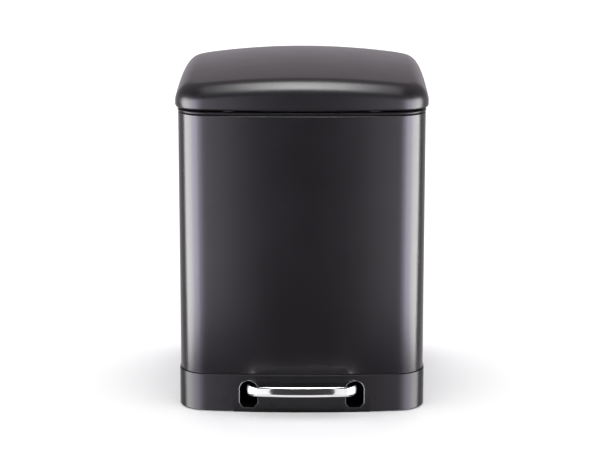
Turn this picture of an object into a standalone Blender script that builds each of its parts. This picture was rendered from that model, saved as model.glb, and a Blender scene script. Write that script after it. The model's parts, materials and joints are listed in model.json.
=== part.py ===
"""Step-on waste bin of about 20 litres, with a crowned lid, a lift-out bucket and its pedal linkage.

Metres, +Z up, front towards -Y.  The origin is the middle of the underside of the base.
"""
import math

import bmesh
import bpy
from mathutils import Matrix, Vector

# --- Body and base ------------------------------------------------------------
BODY_WIDTH = 0.290
BODY_DEPTH = 0.300
SHELL_HEIGHT = 0.310
FRONT_BOW = 0.011          # how far the front stands forward of its corners
CORNER_RADIUS = 0.034
SHELL_WALL = 0.0008
PLINTH_HEIGHT = 0.0457
PLINTH_PROUD = 0.0013      # the plinth is this much wider than the shell all round
PLINTH_WALL = 0.003
PLINTH_RELIEF = 0.0018     # the plinth's sides end this far above the floor
PLINTH_PAD_HALF = 0.081    # its middle stretch, front and back, reaches the floor
SPIGOT_HEIGHT = 0.010      # the plinth's upstand inside the shell
SPIGOT_WALL = 0.0022
FLOOR_THICKNESS = 0.0035
DECK_THICKNESS = 0.0025
COLLAR_BAND = 0.0042
COLLAR_DEPTH = 0.034
COLLAR_WALL = 0.002
COLLAR_INSET = 0.0002      # the collar's band stands this far inside the shell's face
COLLAR_EDGE = 0.0006
EDGE_BREAK = 0.0008        # small chamfer on moulded edges
GAP = 0.0003               # between pieces that touch
OVERRUN = 0.010            # how far a cutter runs past what it cuts
CORNER_STEPS = 6
BOW_STEPS = 8
SHOULDER_STEPS = 5

# --- Lid ----------------------------------------------------------------------
LID_OPEN = math.radians(80)
LID_PROUD = 0.0033
LID_TUCK = 0.0015          # the lid's lower edge is drawn in this much
LID_GAP = 0.0016           # daylight between collar and lid
LID_WALL = 0.0012
LID_SKIRT = 0.0025         # straight wall below the rounded edge
LID_ROUND = 0.020          # radius of the edge between side and top
CROWN_ACROSS = 0.0125
CROWN_ALONG = 0.008
LINER_THICKNESS = 0.0024
LINER_RIM = 0.006
LINER_DRAFT = 0.001
LINER_CLEARANCE = 0.0012   # from the knuckles up to the lid bracket's plate
BOSS_RADIUS = 0.0045
BOSS_HEIGHT = 0.005
BUFFER_SIZE = (0.010, 0.0022, 0.0010)
BUFFER_X = 0.085

# --- Lid hinge ----------------------------------------------------------------
HINGE_SETBACK = 0.010      # hinge pin behind the shell's back
HINGE_DROP = 0.0035        # hinge pin below the collar's top
HINGE_PIN_RADIUS = 0.0025
HINGE_EAR_X = 0.0445
HINGE_EAR_WALL = 0.002
HINGE_EAR_RADIUS = 0.006
HINGE_PLATE_DROP = 0.034
KNUCKLE_X = 0.038
KNUCKLE_WALL = 0.0025
KNUCKLE_RADIUS = 0.007
BRACKET_WALL = 0.002
BRACKET_REACH = 0.042      # lid bracket forward of the hinge pin
BRACKET_MARGIN = 0.001     # both hinge plates stand this far past their ears
BRACKET_RELIEF = 0.006     # room in the liner beside the knuckles
KNUCKLE_SINK = 0.001       # a knuckle's disc is drawn out this far into the plate
TIP_WALL = 0.0025          # metal round the hole at the lid tongue's tip
PIN_HEAD = 0.0015          # height of the hinge pin's head, and its overhang
PIN_END = 0.0035           # pin past its ear, beyond the clip
PIN_EDGE = 0.0004
CLIP_WALL = 0.001
CLIP_OVERHANG = 0.0016
CLIP_OFFSET = 0.001        # clip's middle outside the pin's ear
HINGE_SCREW_INSET = 0.016  # hinge screws in from the ears
LID_SCREW_X = 0.026
LID_SCREW_SETBACK = 0.010
COVER_LAP = 0.0005         # cover's top above the hinge plate's top
COVER_DEPTH = 0.022
COVER_WALL = 0.002
COVER_HALF_WIDTH = 0.056
COVER_HEIGHT = 0.040
NOTCH_HALF_WIDTH = 0.010   # notch through the back for the lid lever
NOTCH_DEPTH = 0.0305

# --- Pedal linkage ------------------------------------------------------------
ROD_STROKE = 0.030
PEDAL_STROKE = 0.018
PEDAL_WIDTH = 0.130
PEDAL_REACH = 0.0245       # pedal's front ahead of the plinth's front
PEDAL_BOW = 0.006
PEDAL_BEND = 0.014
PEDAL_HEIGHT = 0.0115
PEDAL_WALL = 0.004
PEDAL_LEVEL = 0.0318       # middle of the pedal's front at rest
ROD_FOOT_CLEARANCE = 0.0025    # from the base's floor to the rod's foot at rest
AXLE_RADIUS = 0.003
AXLE_INSET = 0.001         # the axle ends this far inside its blocks
SLOT_WIDTH = 0.021
SLOT_HEADROOM = 0.00095    # above the pedal's arms at rest
SLOT_FOOTROOM = 0.00205    # below them when the pedal is down
SLOT_FOOT_WIDTH = 0.6      # of the slot's width: its flat bottom between two chamfers
SLOT_FOOT_RISE = 0.5       # of half the slot's width: the height of the chamfers
ARM_TAIL = 0.010           # pedal arms behind the axle
LEVER_HEIGHT = 0.009
LEVER_HALF_WIDTH = 0.009
TONGUE_WALL = 0.006        # lever tongues that carry the rod's pins
TONGUE_REACH = 0.024       # the lever narrows to its tongue this far before the rod
TONGUE_END = 0.005         # tongue past the rod's pin
TONGUE_TAPER = 0.006
YOKE_FRONT = 0.036
YOKE_BACK = 0.012
YOKE_WEB = (0.014, 0.016)  # gusset between yoke and stem: sideways, lengthways
YOKE_SCREW_INSET = 0.010
HUB_RADIUS = 0.0065
BLOCK_WALL = 0.010
BLOCK_HALF_DEPTH = 0.010
BLOCK_HEADROOM = 0.005     # block above the axle
BLOCK_CLEARANCE = 0.0015   # from the pedal's arms to the blocks
LINK_PIN_RADIUS = 0.002
LINK_PIN_HEAD = 0.001
LINK_PIN_END = 0.0012
LINK_PIN_EDGE = 0.0003
LINK_PIN_PLAY = 0.0009     # slack between a link pin and the rod's slots
ROD_WALL = 0.003
ROD_WIDTH = 0.008
ROD_NECK = 0.0002          # the bar is this much thinner than its heads on each face
ROD_HEAD_WALL = 0.0026     # metal left round a slot in the rod
ROD_FOOT_TRAVEL = 0.0006   # sideways wander of the lever's pin in the rod's foot
CHANNEL_HALF_WIDTH = 0.0125
CHANNEL_WALL = 0.002
CHANNEL_CLEARANCE = 0.0025

# --- Bucket -------------------------------------------------------------------
BUCKET_HEADROOM = 0.0305   # bucket's rim below the collar's top
BUCKET_SIDE_CLEARANCE = 0.0025
BUCKET_WALL = 0.0016
BUCKET_FLOOR = 0.002
BUCKET_TAPER = 0.007
BUCKET_RIM = 0.005
BUCKET_RIM_HEIGHT = 0.004
BUCKET_FOOT_EDGE = 0.004
BUCKET_CORNER_EASE = 0.004 # bucket's corners are this much tighter than the body's

# --- Small parts --------------------------------------------------------------
SCREW_RADIUS = 0.0016
SCREW_HEAD_RADIUS = 0.0032
SCREW_HEAD_HEIGHT = 0.0012
HEAD_RECESS = 0.0020
SCREW_SPARE = 0.002        # a hole runs this far past its screw's tip
BASE_SCREW_LENGTH = 0.012
BLOCK_SCREW_LENGTH = 0.010
PEDAL_SCREW_LENGTH = 0.010
HINGE_SCREW_LENGTH = 0.007
LID_SCREW_LENGTH = 0.0065
FOOT_RADIUS = 0.009
FOOT_THICKNESS = 0.0016
FOOT_EDGE = 0.0004
FOOT_INSET = 0.0192        # from the plinth's inner corner to a foot's edge
POST_RADIUS = 0.006
POST_SINK = 0.001          # a post runs this far into the plinth's wall
POST_HEADROOM = 0.004      # and ends this far below its top
BUMPER_RADIUS = 0.006
BUMPER_THICKNESS = 0.002
BUMPER_X = 0.035

# --- Places that follow from the sizes ----------------------------------------
BACK = BODY_DEPTH / 2
FRONT = -BODY_DEPTH / 2
SHELL_BOTTOM = PLINTH_HEIGHT + GAP
SHELL_TOP = SHELL_BOTTOM + SHELL_HEIGHT
COLLAR_BOTTOM = SHELL_TOP - COLLAR_DEPTH
COLLAR_TOP = SHELL_TOP + GAP + COLLAR_BAND
COLLAR_OUTSIDE = SHELL_WALL + GAP
COLLAR_INSIDE = COLLAR_OUTSIDE + COLLAR_WALL
BOW_RADIUS = ((BODY_WIDTH / 2) ** 2 + FRONT_BOW ** 2) / (2 * FRONT_BOW)
SPIGOT_TOP = PLINTH_HEIGHT + SPIGOT_HEIGHT
DECK_TOP = SPIGOT_TOP + GAP + DECK_THICKNESS
BUCKET_TOP = COLLAR_TOP - BUCKET_HEADROOM
LID_BOTTOM = COLLAR_TOP + LID_GAP
LID_CORNER_HEIGHT = LID_ROUND + LID_SKIRT
HINGE_Y = BACK + HINGE_SETBACK
HINGE_Z = COLLAR_TOP - HINGE_DROP
LEVER_ARM = ROD_STROKE / (2 * math.sin(LID_OPEN / 2))
LEVER_TIP_Y = HINGE_Y - LEVER_ARM * math.cos(LID_OPEN / 2)
LEVER_TIP_Z = HINGE_Z - ROD_STROKE / 2
ROD_Y = (HINGE_Y - LEVER_ARM + LEVER_TIP_Y) / 2
ROD_SLOT_RADIUS = LINK_PIN_RADIUS + LINK_PIN_PLAY
ROD_HEAD_RADIUS = ROD_SLOT_RADIUS + ROD_HEAD_WALL
PIVOT_LEVEL = FLOOR_THICKNESS + ROD_FOOT_CLEARANCE + ROD_HEAD_RADIUS + ROD_STROKE / 2
PEDAL_FRONT = FRONT - PLINTH_PROUD - PEDAL_REACH
PEDAL_Y = PEDAL_FRONT + PEDAL_WALL / 2
PEDAL_ARM = (ROD_Y - PEDAL_Y) * PEDAL_STROKE / (PEDAL_STROKE + ROD_STROKE)
PIVOT_Y = PEDAL_Y + PEDAL_ARM
ROD_ARM = ROD_Y - PIVOT_Y
PEDAL_SWING = 2 * math.asin(ROD_STROKE / 2 / ROD_ARM)
ROD_FOOT_Z = PIVOT_LEVEL - ROD_STROKE / 2
ROD_X = TONGUE_WALL / 2 + 2 * GAP
SLOT_X = (PEDAL_WIDTH - PEDAL_WALL) / 2
SLOT_TOP = PEDAL_LEVEL + PEDAL_HEIGHT / 2 + SLOT_HEADROOM
SLOT_BOTTOM = PEDAL_LEVEL - PEDAL_HEIGHT / 2 - PEDAL_STROKE - SLOT_FOOTROOM
CHANNEL_FRONT = ROD_Y - ROD_WIDTH / 2 - CHANNEL_CLEARANCE - CHANNEL_WALL
SIDEWAYS = Matrix(((0, 0, 1, 0), (1, 0, 0, 0), (0, 1, 0, 0), (0, 0, 0, 1)))   # (y, z) drawings to 3-D


def clear_scene():
    for obj in list(bpy.data.objects):
        bpy.data.objects.remove(obj, do_unlink=True)


def collection(name):
    made = bpy.data.collections.new(name)
    bpy.context.scene.collection.children.link(made)
    return made


def material(name, colour, roughness, metallic=0.0):
    made = bpy.data.materials.new(name)
    made.use_nodes = True
    shader = made.node_tree.nodes["Principled BSDF"]
    shader.inputs["Base Color"].default_value = (*colour, 1.0)
    shader.inputs["Roughness"].default_value = roughness
    shader.inputs["Metallic"].default_value = metallic
    return made


clear_scene()
PARTS = collection("pedal_bin")
CUTTERS = collection("pedal_bin_cutters")

BLACK_STEEL = material("black_enamelled_steel", (0.012, 0.011, 0.013), 0.25)
BLACK_PLASTIC = material("black_moulded_plastic", (0.018, 0.018, 0.019), 0.35)
GREY_PLASTIC = material("grey_moulded_plastic", (0.09, 0.09, 0.095), 0.5)
POLISHED = material("polished_steel", (0.75, 0.75, 0.76), 0.08, 1.0)
ZINC = material("zinc_plated_steel", (0.5, 0.5, 0.51), 0.35, 1.0)
RUBBER = material("black_rubber", (0.02, 0.02, 0.02), 0.8)


def joint_empty(name, place):
    """An empty on a joint's axis, which carries the pieces that move with it."""
    empty = bpy.data.objects.new(name, None)
    empty.location = place
    PARTS.objects.link(empty)
    return empty


LID_AXIS = joint_empty("lid_axis", (0, HINGE_Y, HINGE_Z))
PEDAL_AXIS = joint_empty("pedal_axis", (0, PIVOT_Y, PIVOT_LEVEL))
ROD_AXIS = joint_empty("rod_axis", (0, ROD_Y, ROD_FOOT_Z))
BUCKET_AXIS = joint_empty("bucket_axis", (0, 0, DECK_TOP))


def add(name, bm, finish, carrier=None, location=(0, 0, 0), rotation=(0, 0, 0)):
    """Turn a bmesh into a named part; location and rotation are in the world at rest."""
    mesh = bpy.data.meshes.new(name)
    bm.to_mesh(mesh)
    bm.free()
    mesh.materials.append(finish)
    obj = bpy.data.objects.new(name, mesh)
    PARTS.objects.link(obj)
    obj.location = location
    obj.rotation_euler = rotation
    if carrier is not None:
        obj.parent = carrier
        obj.matrix_parent_inverse = Matrix.Translation(-carrier.location)
    return obj


def smooth(obj, degrees=35):
    obj.data.shade_smooth()
    obj.data.set_sharp_from_angle(angle=math.radians(degrees))
    return obj


def cutter(name, bm, location=(0, 0, 0), rotation=(0, 0, 0)):
    mesh = bpy.data.meshes.new(name)
    bm.to_mesh(mesh)
    bm.free()
    obj = bpy.data.objects.new(name, mesh)
    CUTTERS.objects.link(obj)
    obj.location = location
    obj.rotation_euler = rotation
    obj.hide_render = True
    obj.display_type = "WIRE"
    return obj


def combine(target, tools, operation="DIFFERENCE"):
    for tool in tools:
        step = target.modifiers.new(tool.name, "BOOLEAN")
        step.operation = operation
        step.solver = "EXACT"
        step.object = tool


def box(low, high):
    """A closed box between two opposite corners."""
    low, high = Vector(low), Vector(high)
    bm = bmesh.new()
    bmesh.ops.create_cube(bm, size=1)
    bmesh.ops.scale(bm, vec=high - low, verts=bm.verts)
    bmesh.ops.translate(bm, vec=(low + high) / 2, verts=bm.verts)
    return bm


def rod(radius, length, segments=16):
    """A closed cylinder along X, centred on its own origin."""
    bm = bmesh.new()
    turn = Matrix.Rotation(math.pi / 2, 4, "Y")
    bmesh.ops.create_cone(bm, cap_ends=True, segments=segments, radius1=radius, radius2=radius,
                          depth=length, matrix=turn)
    return bm


def drum(radius, low, high, segments=16):
    """A closed upright cylinder from height low to height high."""
    bm = bmesh.new()
    rise = Matrix.Translation((0, 0, (low + high) / 2))
    bmesh.ops.create_cone(bm, cap_ends=True, segments=segments, radius1=radius, radius2=radius,
                          depth=high - low, matrix=rise)
    return bm


def slab(points, thickness, turn=None):
    """A flat outline, given anticlockwise, made into a closed plate."""
    bm = bmesh.new()
    face = bm.faces.new([bm.verts.new((x, y, 0)) for x, y in points])
    made = bmesh.ops.extrude_face_region(bm, geom=[face])["geom"]
    raised = [item for item in made if isinstance(item, bmesh.types.BMVert)]
    bmesh.ops.translate(bm, vec=(0, 0, thickness), verts=raised)
    bmesh.ops.recalc_face_normals(bm, faces=bm.faces)
    if turn is not None:
        bm.transform(turn)
    return bm


def arc(centre, radius, start, end, steps):
    turns = [start + (end - start) * step / steps for step in range(steps + 1)]
    return [(centre[0] + radius * math.cos(a), centre[1] + radius * math.sin(a)) for a in turns]


def link_outline(first, first_radius, second, second_radius, steps=8):
    """The outline of two discs joined by their outer tangents."""
    across = Vector(second) - Vector(first)
    heading = math.atan2(across.y, across.x)
    spread = math.acos((first_radius - second_radius) / across.length)
    near = arc(first, first_radius, heading + spread, heading + 2 * math.pi - spread, steps)
    far = arc(second, second_radius, heading - spread, heading + spread, steps)
    return near + far


def footprint(width, front, back, bow, radius):
    """Points round a bow-fronted plan with round corners, each with its outward normal."""
    half = width / 2
    bow_radius = (half ** 2 + bow ** 2) / (2 * bow)
    bow_centre = Vector((0, front + bow_radius))
    corner_x = half - radius
    front_y = bow_centre.y - math.sqrt((bow_radius - radius) ** 2 - corner_x ** 2)
    turn = math.asin(corner_x / (bow_radius - radius))
    ahead = 1.5 * math.pi
    stretches = (
        (Vector((corner_x, back - radius)), radius, 0, math.pi / 2, CORNER_STEPS),
        (Vector((-corner_x, back - radius)), radius, math.pi / 2, math.pi, CORNER_STEPS),
        (Vector((-corner_x, front_y)), radius, math.pi, ahead - turn, CORNER_STEPS),
        (bow_centre, bow_radius, ahead - turn, ahead + turn, BOW_STEPS),
        (Vector((corner_x, front_y)), radius, ahead + turn, 2 * math.pi, CORNER_STEPS),
    )
    points = []
    for centre, reach, start, end, steps in stretches:
        is_bow = centre is bow_centre
        for step in range(is_bow, steps + 1 - is_bow):
            angle = start + (end - start) * step / steps
            normal = Vector((math.cos(angle), math.sin(angle)))
            points.append((centre + reach * normal, normal))
    return points


def sweep(loops):
    """Pull a closed loop of edges through a list of loops, each a list of matching places."""
    bm = bmesh.new()
    station = bm.verts.layers.int.new("station")
    verts = [bm.verts.new(place) for place in loops[0]]
    for index, vert in enumerate(verts):
        vert[station] = index
    edges = [bm.edges.new((verts[index - 1], verts[index])) for index in range(len(verts))]
    ends = [edges]
    for places in loops[1:]:
        made = bmesh.ops.extrude_edge_only(bm, edges=edges)["geom"]
        edges = [item for item in made if isinstance(item, bmesh.types.BMEdge)]
        for vert in made:
            if isinstance(vert, bmesh.types.BMVert):
                vert.co = places[vert[station]]
    ends.append(edges)
    return bm, ends


def loft(foot, profile, ring=False):
    """Sweep a footprint through (inset, height) steps into a ring or a capped solid."""
    if ring:
        profile = profile + profile[:1]
    loops = [[(*(point - inset * normal), height) for point, normal in foot] for inset, height in profile]
    bm, ends = sweep(loops)
    if ring:
        bmesh.ops.remove_doubles(bm, verts=bm.verts, dist=0.000001)
    else:
        for end in ends:
            bmesh.ops.contextual_create(bm, geom=end)
    bmesh.ops.recalc_face_normals(bm, faces=bm.faces)
    return bm


def turned(name, profile, finish, carrier=None, location=(0, 0, 0), rotation=(0, 0, 0), steps=14):
    """A turned piece; its (radius, height) profile runs from the top down its outer side."""
    bm = bmesh.new()
    verts = [bm.verts.new((radius, 0, height)) for radius, height in profile]
    for upper, lower in zip(verts, verts[1:]):
        bm.edges.new((upper, lower))
    obj = add(name, bm, finish, carrier, location, rotation)
    spin = obj.modifiers.new("Turn", "SCREW")
    spin.steps = steps
    spin.render_steps = steps
    spin.use_merge_vertices = True
    spin.merge_threshold = 0.00005
    return obj


def screw(name, location, rotation, length, carrier=None):
    """A pan-head screw: the head stands on the local plane Z = 0, the shank runs down from it."""
    profile = [
        (0, SCREW_HEAD_HEIGHT),
        (0.65 * SCREW_HEAD_RADIUS, SCREW_HEAD_HEIGHT),
        (SCREW_HEAD_RADIUS, 0.4 * SCREW_HEAD_HEIGHT),
        (SCREW_HEAD_RADIUS, 0),
        (SCREW_RADIUS, 0),
        (SCREW_RADIUS, -length),
        (0, -length),
    ]
    return turned(name, profile, ZINC, carrier, location, rotation, steps=12)


POINTING_DOWN = (math.pi, 0, 0)
POINTING_BACK = (-math.pi / 2, 0, 0)
SIDES = (("left", -1), ("right", 1))
BODY_FOOT = footprint(BODY_WIDTH, FRONT, BACK, FRONT_BOW, CORNER_RADIUS)
SHANK_CLEARANCE = SCREW_RADIUS + GAP


def corner_centres():
    """Centres of the plan's four corner arcs, with the way out of each corner."""
    x = BODY_WIDTH / 2 - CORNER_RADIUS
    front_y = BODY_FOOT[2 * (CORNER_STEPS + 1)][0].y
    places = []
    for side in (1, -1):
        places.append((Vector((side * x, BACK - CORNER_RADIUS)), Vector((side, 1)).normalized()))
        places.append((Vector((side * x, front_y)), Vector((side, -1)).normalized()))
    return places


def make_base():
    """Plinth, floor, deck, feet and the screws that hold the floor on."""
    spigot = SHELL_WALL + GAP
    inner = PLINTH_WALL - PLINTH_PROUD
    plinth = add("base_plinth", loft(BODY_FOOT, [
        (-PLINTH_PROUD, 0.0),
        (-PLINTH_PROUD, PLINTH_HEIGHT - EDGE_BREAK),
        (EDGE_BREAK - PLINTH_PROUD, PLINTH_HEIGHT),
        (spigot, PLINTH_HEIGHT),
        (spigot, SPIGOT_TOP),
        (spigot + SPIGOT_WALL, SPIGOT_TOP),
        (spigot + SPIGOT_WALL, PLINTH_HEIGHT),
        (inner, PLINTH_HEIGHT - PLINTH_WALL),
        (inner, 0.0),
    ], ring=True), BLACK_PLASTIC)

    floor = add("base_floor", loft(BODY_FOOT, [(inner + GAP, 0.0), (inner + GAP, FLOOR_THICKNESS)]),
                BLACK_PLASTIC)
    posts = []
    holes = []
    wall_reach = CORNER_RADIUS - inner
    post_low = FLOOR_THICKNESS + GAP
    post_high = PLINTH_HEIGHT - POST_HEADROOM
    head_seat = HEAD_RECESS - GAP
    hole_high = head_seat + BASE_SCREW_LENGTH + SCREW_SPARE
    foot_profile = [(0, FOOT_THICKNESS), (FOOT_RADIUS, FOOT_THICKNESS), (FOOT_RADIUS, FOOT_EDGE),
                    (FOOT_RADIUS - FOOT_EDGE, 0), (0, 0)]
    for index, (centre, outwards) in enumerate(corner_centres(), start=1):
        post_at = (*(centre + outwards * (wall_reach - POST_RADIUS + POST_SINK)), 0)
        foot_at = (*(centre + outwards * (wall_reach - FOOT_INSET - FOOT_RADIUS)), 0)
        posts.append(cutter(f"post_{index}", drum(POST_RADIUS, post_low, post_high), post_at))
        hole = cutter(f"post_hole_{index}", drum(SHANK_CLEARANCE, -OVERRUN, hole_high), post_at)
        holes.append(hole)
        head = cutter(f"head_recess_{index}", drum(SCREW_HEAD_RADIUS + GAP, -OVERRUN, HEAD_RECESS), post_at)
        seat = cutter(f"foot_recess_{index}", drum(FOOT_RADIUS + GAP, -OVERRUN, FOOT_THICKNESS + GAP, 20),
                      foot_at)
        combine(floor, [head, hole, seat])
        screw(f"base_screw_{index}", (post_at[0], post_at[1], head_seat), POINTING_DOWN, BASE_SCREW_LENGTH)
        turned(f"foot_{index}", foot_profile, RUBBER, location=foot_at, steps=20)
    reliefs = []
    for side, sign in SIDES:
        x = sign * (PLINTH_PAD_HALF + BODY_WIDTH / 2)
        reliefs.append(cutter(f"plinth_relief_{side}",
                              box((-BODY_WIDTH / 2, -BODY_DEPTH, -PLINTH_RELIEF),
                                  (BODY_WIDTH / 2, BODY_DEPTH, PLINTH_RELIEF)), (x, 0, 0)))
    combine(plinth, posts, "UNION")
    combine(plinth, holes + reliefs)

    slots = []
    slot_radius = SLOT_WIDTH / 2
    foot_half = slot_radius * SLOT_FOOT_WIDTH
    shoulder = SLOT_BOTTOM + slot_radius * SLOT_FOOT_RISE
    upright = Matrix.Translation((0, FRONT + 2 * OVERRUN, 0)) @ Matrix.Rotation(math.pi / 2, 4, "X")
    for side, sign in SIDES:
        x = sign * SLOT_X
        outline = [(x - slot_radius, shoulder), (x - foot_half, SLOT_BOTTOM), (x + foot_half, SLOT_BOTTOM),
                   (x + slot_radius, shoulder)]
        outline += arc((x, SLOT_TOP - slot_radius), slot_radius, 0, math.pi, 10)
        slots.append(cutter(f"slot_{side}", slab(outline, 4 * OVERRUN, upright)))
    combine(plinth, slots)

    deck_profile = [(COLLAR_OUTSIDE, SPIGOT_TOP + GAP), (COLLAR_OUTSIDE, DECK_TOP)]
    deck = add("bucket_deck", loft(BODY_FOOT, deck_profile), GREY_PLASTIC)
    opening = CHANNEL_HALF_WIDTH - CHANNEL_WALL
    way = box((-opening, CHANNEL_FRONT + CHANNEL_WALL, SPIGOT_TOP - OVERRUN),
              (opening, BACK - SHELL_WALL - CHANNEL_WALL, DECK_TOP + OVERRUN))
    combine(deck, [cutter("deck_opening", way)])
    return floor


def make_body():
    """Steel shell and the collar that finishes its mouth, notched at the back for the lid lever."""
    shell = add("body_shell", loft(BODY_FOOT, [
        (0.0, SHELL_BOTTOM),
        (0.0, SHELL_TOP),
        (SHELL_WALL, SHELL_TOP),
        (SHELL_WALL, SHELL_BOTTOM),
    ], ring=True), BLACK_STEEL)
    collar = add("top_collar", loft(BODY_FOOT, [
        (COLLAR_INSET, SHELL_TOP + GAP),
        (COLLAR_INSET, COLLAR_TOP - COLLAR_EDGE),
        (COLLAR_INSET + COLLAR_EDGE, COLLAR_TOP),
        (COLLAR_INSIDE, COLLAR_TOP),
        (COLLAR_INSIDE, COLLAR_BOTTOM),
        (COLLAR_OUTSIDE, COLLAR_BOTTOM),
        (COLLAR_OUTSIDE, SHELL_TOP + GAP),
    ], ring=True), BLACK_PLASTIC)
    notch = cutter("lever_notch", box((-NOTCH_HALF_WIDTH, BACK - OVERRUN, COLLAR_TOP - NOTCH_DEPTH),
                                      (NOTCH_HALF_WIDTH, BACK + OVERRUN, COLLAR_TOP + OVERRUN)))
    combine(shell, [notch])
    combine(collar, [notch])
    return shell, collar, notch


def make_hinge(shell, collar, notch):
    """Fixed half of the lid hinge on the back of the shell, with its cover and pin."""
    plate_bottom = HINGE_Z + HINGE_EAR_RADIUS - HINGE_PLATE_DROP
    plate_top = HINGE_Z - HINGE_EAR_RADIUS
    plate_face = BACK + GAP
    half = HINGE_EAR_X + BRACKET_MARGIN
    bracket = add("hinge_bracket", box((-half, plate_face, plate_bottom),
                                       (half, plate_face + BRACKET_WALL, plate_top)), ZINC)
    foot_of_ear = (plate_face + HINGE_EAR_RADIUS, plate_bottom + HINGE_EAR_RADIUS)
    ears = []
    for side, sign in SIDES:
        outline = link_outline(foot_of_ear, HINGE_EAR_RADIUS, (HINGE_Y, HINGE_Z), HINGE_EAR_RADIUS)
        start = min(sign * HINGE_EAR_X, sign * (HINGE_EAR_X - HINGE_EAR_WALL))
        ears.append(cutter(f"hinge_ear_{side}", slab(outline, HINGE_EAR_WALL, SIDEWAYS), (start, 0, 0)))
    combine(bracket, ears, "UNION")
    pin_hole = cutter("hinge_pin_hole", rod(HINGE_PIN_RADIUS + GAP, 2 * (HINGE_EAR_X + OVERRUN)),
                      (0, HINGE_Y, HINGE_Z))
    combine(bracket, [notch, pin_hole])

    screw_z = (plate_bottom + plate_top) / 2
    for side, sign in SIDES:
        x = sign * (HINGE_EAR_X - HINGE_SCREW_INSET)
        hole = cutter(f"hinge_screw_hole_{side}", rod(SHANK_CLEARANCE, 2 * OVERRUN, 12),
                      (x, BACK, screw_z), (0, 0, math.pi / 2))
        combine(bracket, [hole])
        combine(shell, [hole])
        combine(collar, [hole])
        head_at = (x, plate_face + BRACKET_WALL + GAP, screw_z)
        screw(f"hinge_screw_{side}", head_at, POINTING_BACK, HINGE_SCREW_LENGTH)

    head = HINGE_EAR_X + GAP
    turned("hinge_pin", [
        (0, head + PIN_END),
        (HINGE_PIN_RADIUS - PIN_EDGE, head + PIN_END),
        (HINGE_PIN_RADIUS, head + PIN_END - PIN_EDGE),
        (HINGE_PIN_RADIUS, -head),
        (HINGE_PIN_RADIUS + PIN_HEAD, -head),
        (HINGE_PIN_RADIUS + PIN_HEAD, -head - PIN_HEAD),
        (0, -head - PIN_HEAD),
    ], ZINC, location=(0, HINGE_Y, HINGE_Z), rotation=(0, math.pi / 2, 0), steps=16)
    clip = rod(HINGE_PIN_RADIUS + CLIP_OVERHANG, CLIP_WALL)
    clip_at = (head + CLIP_OFFSET, HINGE_Y, HINGE_Z)
    combine(add("hinge_pin_clip", clip, ZINC, location=clip_at), [pin_hole])

    cover_top = HINGE_Z - HINGE_EAR_RADIUS + COVER_LAP
    cover_bottom = cover_top - COVER_HEIGHT
    cover_back = plate_face + COVER_DEPTH
    inside = COVER_HALF_WIDTH - COVER_WALL
    cover = add("hinge_cover", box((-COVER_HALF_WIDTH, plate_face, cover_bottom),
                                   (COVER_HALF_WIDTH, cover_back, cover_top)), BLACK_PLASTIC)
    hollow = box((-inside, BACK - OVERRUN, cover_bottom + COVER_WALL),
                 (inside, cover_back - COVER_WALL, cover_top + OVERRUN))
    combine(cover, [cutter("hinge_cover_hollow", hollow)])
    bumper_z = (cover_bottom + cover_top) / 2
    bumper_profile = [(0, BUMPER_THICKNESS), (BUMPER_RADIUS - EDGE_BREAK, BUMPER_THICKNESS),
                      (BUMPER_RADIUS, BUMPER_THICKNESS - EDGE_BREAK), (BUMPER_RADIUS, 0), (0, 0)]
    for side, sign in SIDES:
        turned(f"wall_bumper_{side}", bumper_profile, RUBBER,
               location=(sign * BUMPER_X, cover_back + GAP, bumper_z), rotation=POINTING_BACK)
    return pin_hole


def lid_height(point):
    """Height of the lid's crowned top over a point of the plan."""
    half_width = BODY_WIDTH / 2 + LID_PROUD
    half_depth = BODY_DEPTH / 2 + LID_PROUD
    across = 1 - (point.x / half_width) ** 2
    along = 1 - (point.y / half_depth) ** 2
    return LID_BOTTOM + LID_CORNER_HEIGHT + CROWN_ACROSS * across + CROWN_ALONG * along


def lid_surface():
    """The lid's outer skin: a tucked lower edge, a rounded shoulder and a crowned top."""
    loops = []
    for inset, height in ((LID_TUCK - LID_PROUD, LID_BOTTOM), (-LID_PROUD, LID_BOTTOM + LID_SKIRT)):
        loops.append([(*(point - inset * normal), height) for point, normal in BODY_FOOT])
    for step in range(SHOULDER_STEPS + 1):
        angle = math.pi / 2 * step / SHOULDER_STEPS
        inset = LID_ROUND * (1 - math.cos(angle)) - LID_PROUD
        drop = LID_ROUND * (1 - math.sin(angle))
        spots = [point - inset * normal for point, normal in BODY_FOOT]
        loops.append([(*spot, lid_height(spot) - drop) for spot in spots])
    for share in (0.8, 0.6, 0.4, 0.2):
        loops.append([(*(spot * share), lid_height(spot * share)) for spot in spots])
    bm, ends = sweep(loops)
    cap = bmesh.ops.contextual_create(bm, geom=ends[1])["faces"]
    centre = bmesh.ops.poke(bm, faces=cap)["verts"][0]
    centre.co = (0, 0, lid_height(Vector((0, 0))))
    bmesh.ops.recalc_face_normals(bm, faces=bm.faces)
    return bm


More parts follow.
